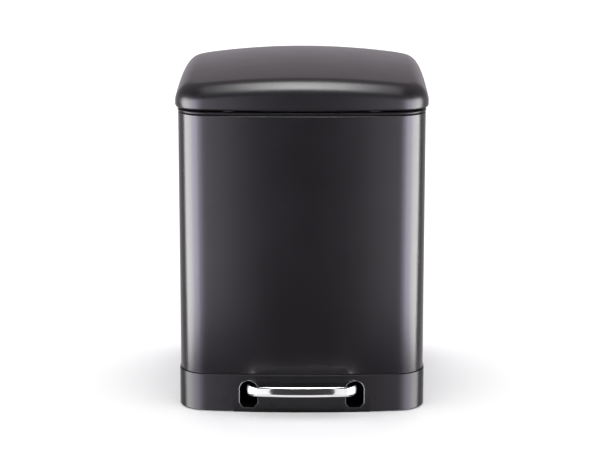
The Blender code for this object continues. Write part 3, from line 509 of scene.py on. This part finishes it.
def pull_walls(bm, profile, closed=False):
    """Pull the outline through (outwards, height) steps and return the last loop of edges."""
    out = bm.verts.layers.float_vector["out"]
    edges = bm.edges[:]
    reach, height = profile[0]
    for vert in bm.verts:
        vert.co += vert[out] * reach
        vert.co.z = height
    for reach_next, height in profile[1:] + (profile[:1] if closed else []):
        made = bmesh.ops.extrude_edge_only(bm, edges=edges)["geom"]
        edges = new_items(made, bmesh.types.BMEdge)
        for vert in new_items(made, bmesh.types.BMVert):
            vert.co += vert[out] * (reach_next - reach)
            vert.co.z = height
        reach = reach_next
    if closed:
        bmesh.ops.remove_doubles(bm, verts=bm.verts, dist=MERGE)
    return edges


def ring_piece(name, material, node, outline, profile, edge, segments=3):
    """A closed ring of wall pulled round an outline, its hard edges rounded."""
    pull_walls(outline, profile, closed=True)
    bmesh.ops.recalc_face_normals(outline, faces=outline.faces)
    round_edges(outline, edge, segments)
    return piece_from(outline, name, material, node)


print("walls ready")

# %% [markdown]
# The body is one sheet of steel wrapped round the plan. Thin sheet is never left with a raw edge:
# at the mouth it is folded inwards into a hem, whose rounded fold catches a thin line of light
# under the lid. At the foot it stops just short of the plinth, which leaves a dark joint line.

# %% Body shell
SHEET = 0.0008
HEM = 0.0016
HEM_HEIGHT = 0.012
HEM_ROUND = 0.0010
FOOT_GAP = 0.0009
SHEET_EDGE = 0.00038
SHELL_TOP = BODY_HIGH.z
SHELL_BOTTOM = BODY_LOW.z
sheet_foot = SHELL_BOTTOM + FOOT_GAP
hem_foot = SHELL_TOP - HEM_HEIGHT
shell = ring_piece("body_wrap", BODY_ENAMEL, "body_shell", body_plan(), [
    (0.0, sheet_foot), *arc_steps(-HEM_ROUND, SHELL_TOP - HEM_ROUND, HEM_ROUND),
    (-HEM, SHELL_TOP), (-HEM, hem_foot), (-SHEET, hem_foot), (-SHEET, sheet_foot)], SHEET_EDGE, 2)
print("body wrap:", len(shell.data.polygons), "faces")

# %% [markdown]
# The lid's lever reaches the push rod inside the back, so sheet and collar both have a notch in
# the middle of the back. A closed block cuts the same notch out of each.

# %% Notch in the back
COLLAR_LOW, COLLAR_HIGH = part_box("top_collar")
NOTCH_HALF = 0.010
NOTCH_DEPTH = 0.0305
NOTCH_REACH = 0.012


def lever_notch():
    """The way through the back for the lid's lever."""
    return brick((-NOTCH_HALF, BACK - NOTCH_REACH, COLLAR_HIGH.z - NOTCH_DEPTH),
                 (NOTCH_HALF, BACK + NOTCH_REACH, 1))


carve(shell, lever_notch())
print("notched wrap:", len(shell.data.polygons), "faces")

# %% [markdown]
# A moulded collar drops into the mouth of the body. Its rim is a half-round bead that stands
# between the hem and the lid, a hair proud of the steel, so bags slide over it without a snag.

# %% Collar
LINE = 0.0003
SKIRT_IN = 0.0021
COLLAR_WALL_IN = 0.0031
BEAD_PROUD = 0.0005
bead_low = SHELL_TOP + LINE
bead = (COLLAR_HIGH.z - bead_low) / 2
collar = ring_piece("mouth_collar", BLACK_PLASTIC, "top_collar", body_plan(), [
    *arc_steps(BEAD_PROUD - bead, bead_low + bead, bead, 16, -math.pi / 2, math.pi),
    (-COLLAR_WALL_IN, COLLAR_HIGH.z), (-COLLAR_WALL_IN, COLLAR_LOW.z),
    (-SKIRT_IN, COLLAR_LOW.z), (-SKIRT_IN, bead_low)], 0.0002)
carve(collar, lever_notch())
print("collar:", len(collar.data.polygons), "faces, bead radius", round(bead, 5))

# %% [markdown]
# The lid is a deep pressing. From a drawn-in lower edge it rises through a short skirt and a
# generous rounded shoulder to a top that is crowned both ways. Its walls follow the plan, and
# above the shoulder each ring of vertices takes its height from the crown. The rings close in
# towards the middle and meet in one point.

# %% Lid surface
LID_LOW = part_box("lid_shell")[0]
LID_PROUD = 0.0033
LID_TUCK = 0.0015
LID_CURL = (0.0006, 0.0010)
LID_SKIRT = 0.0025
LID_ROUND = 0.020
CROWN_ACROSS = 0.0125
CROWN_ALONG = 0.008
SHOULDER_STEPS = 20
CROWN_RINGS = 26


def crown(place):
    """Height of the lid's top over a place in the plan."""
    across = 1 - (place.x / (HALF_WIDTH + LID_PROUD)) ** 2
    along = 1 - (place.y / (BACK + LID_PROUD)) ** 2
    return LID_LOW.z + LID_SKIRT + LID_ROUND + CROWN_ACROSS * across + CROWN_ALONG * along


bm = body_plan()
out = bm.verts.layers.float_vector["out"]
lid_foot = LID_LOW.z
edges = pull_walls(bm, [
    (LID_PROUD - LID_TUCK, lid_foot), (LID_PROUD - LID_CURL[0], lid_foot + LID_CURL[1]),
    (LID_PROUD, lid_foot + LID_SKIRT)])
for step in range(1, SHOULDER_STEPS + 1):
    made = bmesh.ops.extrude_edge_only(bm, edges=edges)["geom"]
    edges = new_items(made, bmesh.types.BMEdge)
    before = (step - 1) / SHOULDER_STEPS * math.pi / 2
    after = step / SHOULDER_STEPS * math.pi / 2
    for vert in new_items(made, bmesh.types.BMVert):
        vert.co += vert[out] * LID_ROUND * (math.cos(after) - math.cos(before))
        vert.co.z = crown(vert.co) - LID_ROUND * (1 - math.sin(after))
for ring in range(CROWN_RINGS, 0, -1):
    made = bmesh.ops.extrude_edge_only(bm, edges=edges)["geom"]
    edges = new_items(made, bmesh.types.BMEdge)
    for vert in new_items(made, bmesh.types.BMVert):
        vert.co.xy = vert.co.xy * (ring - 1) / ring
        vert.co.z = crown(vert.co)
bmesh.ops.remove_doubles(bm, verts=bm.verts, dist=MERGE)
bmesh.ops.recalc_face_normals(bm, faces=bm.faces)
lid = piece_from(bm, "lid_pressing", LID_ENAMEL, "lid_shell")
print("lid surface:", len(lid.data.polygons), "faces")

# %% [markdown]
# The pressing is sheet, so it gets its thickness inwards, and the cut edge at its foot is broken
# with a small bevel. At the back the skirt is cut away to clear the hinge bracket.

# %% Lid sheet and hinge relief
LID_SHEET = 0.0012
LID_EDGE = 0.0004
RELIEF_HALF = 0.0465
RELIEF_IN = 0.042
RELIEF_OUT = 0.03
RELIEF_BELOW = 0.01
wall = lid.modifiers.new("sheet", "SOLIDIFY")
wall.thickness = LID_SHEET
wall.offset = -1
wall.use_even_offset = True
hem = lid.modifiers.new("hem", "BEVEL")
hem.width = LID_EDGE
hem.segments = 2
hem.limit_method = "ANGLE"
hem.angle_limit = math.radians(50)
settle(lid)
relief_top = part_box("lid_bracket")[1].z + LINE
carve(lid, brick((-RELIEF_HALF, BACK - RELIEF_IN, lid_foot - RELIEF_BELOW),
                 (RELIEF_HALF, BACK + RELIEF_OUT, relief_top)))

# %% [markdown]
# The plinth is a moulded ring, slightly proud of the steel above it. A spigot on its top stands
# inside the sheet and holds it in line. The ring is pulled round the shared plan.

# %% Plinth ring
PLINTH_LOW, PLINTH_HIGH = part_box("base_plinth")
PROUD = -PLINTH_LOW.y + FRONT
PLINTH_TOP = SHELL_BOTTOM - LINE
SPIGOT = SHEET + LINE
SPIGOT_WALL = 0.0022
PLINTH_WALL = 0.003
PLINTH_EDGE = 0.0007
inner = PROUD - PLINTH_WALL
plinth = ring_piece("moulded_plinth", BLACK_PLASTIC, "base_plinth", body_plan(), [
    (PROUD, 0.0), (PROUD, PLINTH_TOP), (-SPIGOT, PLINTH_TOP), (-SPIGOT, PLINTH_HIGH.z),
    (-SPIGOT - SPIGOT_WALL, PLINTH_HIGH.z), (-SPIGOT - SPIGOT_WALL, PLINTH_TOP),
    (inner, PLINTH_TOP - PLINTH_WALL), (inner, 0.0)], PLINTH_EDGE)
print("plinth ring:", len(plinth.data.polygons), "faces, top at", round(PLINTH_TOP, 4))

# %% [markdown]
# Two slots with round tops and clipped lower corners let the pedal's arms through. Their outline
# is a half turn and four straight steps, and the same plate cuts the slot and makes its lip. The
# plinth's sides end just above the floor, so the bin stands on its middle and its feet.

# %% Pedal slots
SLOT_RADIUS = 0.0105
SLOT_FLOOR = 0.006
SLOT_CROWN = 0.0385
SLOT_STEPS = 28
CLIP_HIGH = 0.5
CLIP_WIDE = 0.6
CUT_AHEAD = 0.02
CUT_DEEP = 0.04
PAD_HALF = 0.081
PAD_RELIEF = 0.0018
PEDAL_LOW, PEDAL_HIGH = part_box("pedal_bar")
PEDAL_WALL = 0.004
SLOT_X = PEDAL_HIGH.x - PEDAL_WALL / 2


def slot_plate(radius, floor, thickness):
    """A closed upright plate in the slot's outline, standing on y = 0 towards the back."""
    bm = bmesh.new()
    centre = Vector((0, 0, SLOT_CROWN - SLOT_RADIUS))
    start = bm.verts.new(centre + Vector((radius, 0, 0)))
    last = bmesh.ops.spin(bm, geom=[start], cent=centre, axis=(0, -1, 0), dvec=(0, 0, 0),
                          angle=math.pi, steps=SLOT_STEPS, use_merge=False,
                          use_duplicate=False)["geom_last"]
    tip = new_items(last, bmesh.types.BMVert)[0]
    clip = floor + radius * CLIP_HIGH
    narrow = radius * CLIP_WIDE
    for x, z in ((-radius, clip), (-narrow, floor), (narrow, floor), (radius, clip)):
        step = bmesh.ops.extrude_vert_indiv(bm, verts=[tip])["verts"][0]
        step.co = (x, 0, z)
        tip = step
    bm.edges.new((tip, start))
    face = bmesh.ops.contextual_create(bm, geom=bm.edges[:])["faces"][0]
    made = bmesh.ops.extrude_face_region(bm, geom=[face])["geom"]
    bmesh.ops.translate(bm, vec=(0, thickness, 0), verts=new_items(made, bmesh.types.BMVert))
    bmesh.ops.recalc_face_normals(bm, faces=bm.faces)
    return bm


def slot_cut(side):
    """The block that opens the slot on one side."""
    cut = slot_plate(SLOT_RADIUS, SLOT_FLOOR, CUT_DEEP)
    cut.transform(Matrix.Translation((side * SLOT_X, FRONT - CUT_AHEAD, 0)))
    return cut


cuts = []
for side in (-1, 1):
    cuts.append(slot_cut(side))
    x_outer = side * (PAD_HALF + HALF_WIDTH)
    cuts.append(brick((x_outer - HALF_WIDTH, -1, -1), (x_outer + HALF_WIDTH, 1, PAD_RELIEF)))
carve(plinth, *cuts)
print("plinth:", len(plinth.data.polygons), "faces, slots at x =", round(SLOT_X, 4))

# %% [markdown]
# A thin raised lip frames each slot and stiffens the cut wall. It is a slightly larger plate with
# the slot cut out of it, turned to lie flat on the bowed front.

# %% Slot lips
LIP = 0.0010
LIP_PROUD = 0.0006
LIP_EDGE = 0.0005
LIP_DEPTH = PLINTH_WALL * 0.7
BOW_RADIUS = (HALF_WIDTH ** 2 + BOW ** 2) / (2 * BOW)
slot_front = FRONT + BOW_RADIUS - math.sqrt((BOW_RADIUS + PROUD) ** 2 - SLOT_X ** 2)
slot_lean = math.asin(SLOT_X / (BOW_RADIUS + PROUD))
for side, name in ((-1, "left"), (1, "right")):
    bm = slot_plate(SLOT_RADIUS + LIP, SLOT_FLOOR - LIP, LIP_DEPTH)
    bm.transform(Matrix.Translation((side * SLOT_X, slot_front - LIP_PROUD, 0))
                 @ Matrix.Rotation(side * slot_lean, 4, "Z"))
    bmesh.ops.recalc_face_normals(bm, faces=bm.faces)
    round_edges(bm, LIP_EDGE)
    # The lip's paler colour is the painted highlight; its rounded edge and its gloss catch real light as well.
    lip = piece_from(bm, f"slot_lip_{name}", LIP_PLASTIC_PAINTED_HIGHLIGHT, "base_plinth")
    carve(lip, slot_cut(side))
    print(lip.name, len(lip.data.polygons), "faces")

# %% [markdown]
# The pedal is a bar of polished strip bent into a shallow U. Its line is the same kind of bowed
# outline as the body, only narrower, with its back taken away and each arm run on past the axle.

# %% Pedal line
PIVOT = Vector(JOINT_AT["pedal_pivot"])
PEDAL_HALF_WIDTH = PEDAL_HIGH.x
PEDAL_FRONT = PEDAL_LOW.y
PEDAL_BOW = 0.006
PEDAL_BEND = 0.014
PEDAL_BOW_STEPS = 24
PEDAL_BEND_STEPS = 16
PEDAL_TAIL = 0.010
HAIR = 0.0001
bm = bowed_outline(PEDAL_HALF_WIDTH, PEDAL_FRONT, BACK, PEDAL_BOW, PEDAL_BEND,
                   PEDAL_BOW_STEPS, PEDAL_BEND_STEPS)
behind = [vert for vert in bm.verts if vert.co.y > BACK - PEDAL_BEND - HAIR]
bmesh.ops.delete(bm, geom=behind, context="VERTS")
arms = [vert for vert in bm.verts if len(vert.link_edges) == 1]
for tip in arms:
    tail = bmesh.ops.extrude_vert_indiv(bm, verts=[tip])["verts"][0]
    tail.co.y = PIVOT.y + PEDAL_TAIL
print("pedal line:", len(bm.edges), "edges")

# %% [markdown]
# The strip's outer face is crowned, which gives the bright edges with a dark line between them:
# the middle of the face mirrors the room in front while its upper and lower parts mirror the
# lights and the floor. So an oval section is pulled along the line, its ends are closed, and the
# whole is tilted about the axle to where the pedal rests.

# %% Pedal strip
PEDAL_HEIGHT = 0.0115
PEDAL_LEVEL = 0.0318
PEDAL_SECTION_STEPS = 40
half_wall = PEDAL_WALL / 2
section = []
for step in range(PEDAL_SECTION_STEPS):
    angle = 2 * math.pi * step / PEDAL_SECTION_STEPS
    section.append((-half_wall + half_wall * math.cos(angle), PEDAL_HEIGHT / 2 * math.sin(angle)))
pull_walls(bm, section, closed=True)
loose_ends = [edge for edge in bm.edges if edge.is_boundary]
bmesh.ops.holes_fill(bm, edges=loose_ends, sides=0)
bmesh.ops.recalc_face_normals(bm, faces=bm.faces)
tilt = math.asin((PEDAL_LEVEL - PIVOT.z) / (PIVOT.y - PEDAL_FRONT - half_wall))
bm.transform(Matrix.Translation((0, PIVOT.y, PIVOT.z)) @ Matrix.Rotation(-tilt, 4, "X")
             @ Matrix.Translation((0, -PIVOT.y, 0)))
pedal = piece_from(bm, "pedal_strip", POLISHED, "pedal_bar", smooth_below=50)
print("pedal:", len(pedal.data.polygons), "faces, tilted", round(math.degrees(tilt), 2), "degrees")

# %% [markdown]
# The bucket is a tapered grey moulding with a rolled rim to lift it by. It is pulled from a
# slightly smaller plan, down the outside, over the rim and down the inside, and both floors are
# closed with one flat face each.

# %% Bucket
BUCKET_LOW, BUCKET_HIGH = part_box("bucket")
BUCKET_CORNER = CORNER - 0.004
TAPER = 0.007
RIM = 0.005
RIM_HEIGHT = 0.004
BUCKET_WALL = 0.0016
BUCKET_FLOOR = 0.002
BUCKET_EDGE = 0.0006
FOOT_CURL = ((0.0045, 0.0), (0.0015, 0.0010), (0.0, 0.0042))
bm = bowed_outline(BUCKET_HIGH.x, BUCKET_LOW.y, BUCKET_HIGH.y, BOW, BUCKET_CORNER)
top, foot = BUCKET_HIGH.z, BUCKET_LOW.z
base = RIM + TAPER
first_edges = bm.edges[:]
outside = [(-base - inset, foot + rise) for inset, rise in FOOT_CURL]
inside = [(-base - BUCKET_WALL - inset, foot + BUCKET_FLOOR + rise)
          for inset, rise in reversed(FOOT_CURL)]
last_edges = pull_walls(bm, [
    *outside, (-RIM, top - RIM_HEIGHT), (0.0, top - RIM_HEIGHT), (0.0, top),
    (-RIM - BUCKET_WALL, top), *inside])
bmesh.ops.contextual_create(bm, geom=first_edges)
bmesh.ops.contextual_create(bm, geom=last_edges)
bmesh.ops.recalc_face_normals(bm, faces=bm.faces)
round_edges(bm, BUCKET_EDGE, steeper_than=60)
bucket = piece_from(bm, "lift_out_bucket", GREY_PLASTIC, "bucket")
print("bucket:", len(bucket.data.polygons), "faces")

# %% [markdown]
# Many smaller parts have the right shape already, but moulded and stamped parts never have razor
# edges. For these the CAD node's loose triangles are copied, welded into flat faces, and every
# sharp edge is rounded a little. The rounding is what makes them catch the light.

# %% Copy a node and soften it
WELD = 0.000002
FLAT_WITHIN = math.radians(0.5)


def welded(node):
    """A copy of a CAD node's mesh, its triangles joined into flat faces."""
    bm = bmesh.new()
    bm.from_mesh(NODES[node].data)
    bmesh.ops.remove_doubles(bm, verts=bm.verts, dist=WELD)
    bmesh.ops.dissolve_limit(bm, angle_limit=FLAT_WITHIN, verts=bm.verts, edges=bm.edges)
    return bm


def softened(node, width, bm=None):
    """A piece that stands for a node, with its sharp edges rounded."""
    bm = bm or welded(node)
    round_edges(bm, width, 2)
    soft = piece_from(bm, f"{node}_soft", FINISH_OF_SLOT[SLOT_OF[node]], node)
    print(soft.name, len(soft.data.polygons), "faces")


for node, width in {"hinge_cover": 0.0006, "hinge_bracket": 0.0003, "lid_bracket": 0.0002}.items():
    softened(node, width)

# %% [markdown]
# The liner closes the lid from below. A field pressed into its large lower face stiffens it, and
# leaves a margin all round, as moulded panels have. One inset of that face makes it.

# %% Lid liner
PANEL_MARGIN = 0.012
PANEL_DEPTH = 0.0010
LINER_EDGE = 0.0005
bm = welded("lid_liner")
below = [face for face in bm.faces if face.normal.z < -0.9]
field = max(below, key=lambda face: face.calc_area())
bmesh.ops.inset_individual(bm, faces=[field], thickness=PANEL_MARGIN, depth=-PANEL_DEPTH,
                           use_even_offset=True)
softened("lid_liner", LINER_EDGE, bm)

# %% [markdown]
# The axle blocks, the rod's channel, the deck under the bucket, the wall bumpers and the lid
# buffers are softened as they are.

# %% Other small parts
SOFT_EDGES = {"axle_block_left": 0.0006, "axle_block_right": 0.0006, "rod_channel": 0.0004,
              "bucket_deck": 0.0004, "wall_bumper_left": 0.0003, "wall_bumper_right": 0.0003,
              "lid_buffer_left": 0.0002, "lid_buffer_right": 0.0002}
for node, width in SOFT_EDGES.items():
    softened(node, width)

# %% [markdown]
# The setting is a pale seamless floor, large enough to fill the view from every side. A black
# glossy thing would mirror all of it, so the floor is left out of reflections. A small strip of
# the same paper under the pedal shows only in reflections, and whitens the pedal's lower edge.

# %% Floor
FLOOR_SIZE = 60.0
STRIP_SIZE = 0.15
STRIP_SHAPE = (1, 0.4, 1, 1)
STRIP_AHEAD = 0.012
STRIP_HEIGHT = 0.0002
floor_paint, shader, wire, place = finish_named("pale_paper", specular=0.1)
tooth = grain(wire, place, 260.0, 3.0)
tone = grain(wire, place, 1.2, 2.0)
feed(wire, shader, Base_Color=blend_colours(wire, tone, (0.90, 0.90, 0.90), (0.93, 0.93, 0.93)),
     Roughness=0.7 + tooth * 0.1, Normal=relief(wire, tooth, 0.00002))


def paper(name, size, height):
    """A flat square of paper, part of the stage."""
    bm = bmesh.new()
    bmesh.ops.create_grid(bm, x_segments=1, y_segments=1, size=size / 2)
    bmesh.ops.translate(bm, vec=(0, 0, height), verts=bm.verts)
    mesh = bpy.data.meshes.new(name)
    bm.to_mesh(mesh)
    bm.free()
    mesh.materials.append(floor_paint)
    made = bpy.data.objects.new(name, mesh)
    bpy.context.scene.collection.objects.link(made)
    return made


floor = paper("floor", FLOOR_SIZE, 0.0)
floor.visible_glossy = False
floor.visible_shadow = False
strip = paper("floor_in_reflections", STRIP_SIZE, STRIP_HEIGHT)
strip.data.transform(Matrix.Translation((0, PEDAL_FRONT - STRIP_AHEAD, 0))
                     @ Matrix.Diagonal(STRIP_SHAPE))
strip.visible_camera = False
strip.visible_diffuse = False
strip.visible_shadow = False
print("floor:", FLOOR_SIZE, "m across")

# %% [markdown]
# The light decides how a black object reads, so these soft boxes are placed by what the bin's
# faces mirror. A box is given by where it stands, its width and height, and how bright its face
# is. The boxes light only reflections. A wide fill from above lights the paper and the black
# itself, and is left out of reflections in its turn.

# %% Soft boxes
def soft_box(name, place, aim, size, brightness, tint=(1, 1, 1)):
    """An area light whose face has the given brightness, seen only in reflections."""
    light = bpy.data.lights.new(name, "AREA")
    light.shape = "RECTANGLE"
    light.size, light.size_y = size
    light.energy = brightness * math.pi * size[0] * size[1]
    light.color = tint
    lamp = bpy.data.objects.new(name, light)
    lamp.location = place
    lamp.rotation_euler = (Vector(place) - Vector(aim)).to_track_quat("Z", "Y").to_euler()
    lamp.visible_camera = False
    lamp.visible_diffuse = False
    bpy.context.scene.collection.objects.link(lamp)


print("soft boxes ready to place")

# %% [markdown]
# Upright boxes stand in a ring, dark in front and brighter towards the sides. The bowed front
# mirrors the middle of the ring and stays black, and the tight corners mirror its bright ends as
# two upright highlights. The ring is faintly violet between, like daylight from a window.

# %% Ring of upright boxes
WALL_LOW = -0.76
WALL_HIGH = 0.78
WALL_DISTANCE = 1.5
WHITE = (1, 1, 1)
COOL = (1.0, 0.94, 1.16)
WALLS = (("side_left", -94, -60, 12.5, WHITE), ("side_right", 60, 94, 12.5, WHITE),
         ("front_left", -60, -38, 9.0, COOL), ("front_right", 38, 60, 8.5, COOL),
         ("middle_left", -38, -23, 4.2, COOL), ("middle_right", 25, 38, 4.0, COOL),
         ("edge_left", -23, -13, 1.1, WHITE), ("edge_right", 13, 25, 1.0, WHITE))
for name, from_degrees, to_degrees, brightness, tint in WALLS:
    middle = math.radians((from_degrees + to_degrees) / 2)
    spread = math.radians(abs(to_degrees - from_degrees))
    width = 2 * WALL_DISTANCE * math.tan(spread / 2)
    height = (WALL_LOW + WALL_HIGH) / 2
    place = (WALL_DISTANCE * math.sin(middle), -WALL_DISTANCE * math.cos(middle), height)
    soft_box(name, place, (0, 0, height), (width, WALL_HIGH - WALL_LOW), brightness, tint)
print("upright boxes:", len(WALLS))

# %% [markdown]
# Three boxes overhead show as one soft band along the lid's front shoulder. They are narrower
# than the lid's reflection of them, so the band fades out before the corners.

# %% Overhead boxes
OVERHEAD_HEIGHT = 2.0
OVERHEAD_WIDTH = 0.74
OVERHEAD = (("overhead_back", -0.13, 0.50, 11.0), ("overhead_middle", -0.62, 0.48, 14.0),
            ("overhead_front", -1.16, 0.60, 20.0))
for name, y, depth, brightness in OVERHEAD:
    soft_box(name, (0, y, OVERHEAD_HEIGHT), (0, y, 0), (OVERHEAD_WIDTH, depth), brightness)
print("soft boxes:", len(bpy.data.lights))

# %% [markdown]
# The fill is a sun seen through a very wide diffuser, so shadows stay faint.

# %% Fill
fill = bpy.data.lights.new("paper_fill", "SUN")
fill.energy = 3.7
fill.angle = math.radians(120)
fill_lamp = bpy.data.objects.new("paper_fill", fill)
fill_lamp.location = (0, 0, 3)
fill_lamp.visible_glossy = False
bpy.context.scene.collection.objects.link(fill_lamp)
print("fill:", round(fill.energy, 1))

# %% [markdown]
# The room is dark in front and below, which keeps the front black, and bright behind the bin. The
# light behind is strongest near the horizon, which gives the lid its grey sheen and paler back
# edge, and below the horizon it stands for the floor that the back of the bin would mirror.

# %% Room
ROOM_DARK = 0.05
ROOM_GLOW = 0.33
HORIZON_GLOW = 0.48
FLOOR_GLOW = 0.75
ROOM_TINT = (1.0, 0.93, 1.0)
world = bpy.data.worlds.new("studio_room")
world.use_nodes = True
room = Wire(world.node_tree)
ahead = room.node("TexCoord", output=0)
rise = room.node("SeparateXYZ", None, {"Vector": ahead}, output=2)
depth = room.node("SeparateXYZ", None, {"Vector": ahead}, output=1)
above = smooth_ramp(room, rise, -0.10, 0.06)
high = smooth_ramp(room, rise, 0.0, 0.30)
behind = smooth_ramp(room, depth, -0.25, 0.15)
far_back = smooth_ramp(room, depth, 0.10, 0.90)
upper = above * behind * (ROOM_GLOW + (1 - high) * HORIZON_GLOW)
lower = (1 - above) * far_back * FLOOR_GLOW
sky = blend_colours(room, ROOM_DARK + upper + lower, (0.0, 0.0, 0.0), ROOM_TINT)
background = world.node_tree.nodes["Background"]
world.node_tree.links.new(sky.socket, background.inputs["Color"])
bpy.context.scene.world = world
print("room:", world.name)

# %% [markdown]
# The last step prints that the scene is ready.

# %% Finish
print("scene ready")
